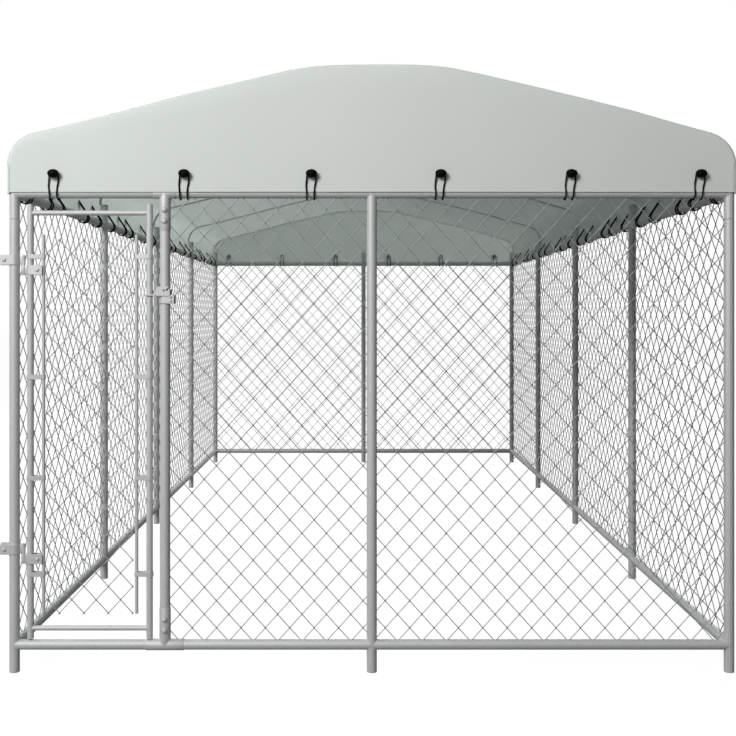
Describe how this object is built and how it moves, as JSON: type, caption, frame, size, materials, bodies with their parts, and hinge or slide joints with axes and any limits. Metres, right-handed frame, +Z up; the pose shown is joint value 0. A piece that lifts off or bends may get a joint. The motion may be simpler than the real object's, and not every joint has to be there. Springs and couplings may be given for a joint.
{
  "type": "outdoor dog kennel run",
  "caption": "Walk-in outdoor dog run of galvanised tube with chain-link walls, a hinged door with a lift-up latch and a ridged fabric canopy tied on with bungee loops.",
  "frame": {"origin": "on the ground under the middle of the run", "axes": "+X to the right seen from the door wall, +Y from the door wall to the back wall, +Z up"},
  "size_m": [3.1282, 6.1244, 2.546],
  "materials": {
    "galvanised_tube": "satin galvanised",
    "chain_wire": "dull galvanised wire",
    "zinc_fittings": "zinc plated pressed steel",
    "zinc_bolts": "zinc plated",
    "canopy_fabric": "smooth coated cloth",
    "bungee_cord": "matt woven sleeve",
    "bungee_knob": "matt",
    "gray_plastic": "matt"
  },
  "bodies": {
    "frame": {"front_left_post": "galvanised_tube", "front_right_post": "galvanised_tube", "back_left_post": "galvanised_tube", "back_right_post": "galvanised_tube", "left_side_posts": "galvanised_tube", "right_side_posts": "galvanised_tube", "front_centre_post": "galvanised_tube", "back_centre_post": "galvanised_tube", "door_post": "galvanised_tube", "front_left_bottom_rail": "galvanised_tube", "front_right_bottom_rail": "galvanised_tube", "back_bottom_rails": "galvanised_tube", "left_bottom_rails": "galvanised_tube", "right_bottom_rails": "galvanised_tube", "front_left_top_rail": "galvanised_tube", "front_right_top_rail": "galvanised_tube", "back_top_rails": "galvanised_tube", "left_top_rails": "galvanised_tube", "right_top_rails": "galvanised_tube", "door_post_top_tee": "zinc_fittings", "door_post_bottom_tee": "zinc_fittings", "tee_bolts": "zinc_bolts", "front_hoop": "galvanised_tube", "middle_hoops": "galvanised_tube", "back_hoop": "galvanised_tube", "post_caps": "gray_plastic", "canopy_roof": "canopy_fabric", "canopy_front_gable": "canopy_fabric", "canopy_back_gable": "canopy_fabric", "front_left_mesh": "chain_wire", "front_right_mesh": "chain_wire", "back_left_mesh": "chain_wire", "back_right_mesh": "chain_wire", "left_wall_mesh": "chain_wire", "right_wall_mesh": "chain_wire", "front_bungee_cords": "bungee_cord", "back_bungee_cords": "bungee_cord", "left_bungee_cords": "bungee_cord", "right_bungee_cords": "bungee_cord", "front_bungee_knobs": "bungee_knob", "back_bungee_knobs": "bungee_knob", "left_bungee_knobs": "bungee_knob", "right_bungee_knobs": "bungee_knob", "upper_post_hinge": "zinc_fittings", "lower_post_hinge": "zinc_fittings", "post_hinge_bolts": "zinc_bolts", "latch_clamp": "zinc_fittings", "latch_clamp_bolts": "zinc_bolts"},
    "door": {"door_hinge_stile": "galvanised_tube", "door_latch_stile": "galvanised_tube", "door_top_rail": "galvanised_tube", "door_bottom_rail": "galvanised_tube", "door_tension_bars": "galvanised_tube", "door_tension_bands": "zinc_fittings", "door_mesh": "chain_wire", "upper_gate_hinge": "zinc_fittings", "lower_gate_hinge": "zinc_fittings", "gate_hinge_bolts": "zinc_bolts"},
    "latch": {"latch_fork": "zinc_fittings"}
  },
  "joints": [
    {"name": "door_hinge", "type": "hinge", "parent": "frame", "child": "door", "pos_m": [-1.462, -3, 1], "axis": [0, 0, -1], "range_deg": [0, 100]},
    {"name": "latch_pivot", "type": "hinge", "parent": "frame", "child": "latch", "pos_m": [-0.868, -3, 1.6], "axis": [0, 1, 0], "range_deg": [0, 90]}
  ]
}
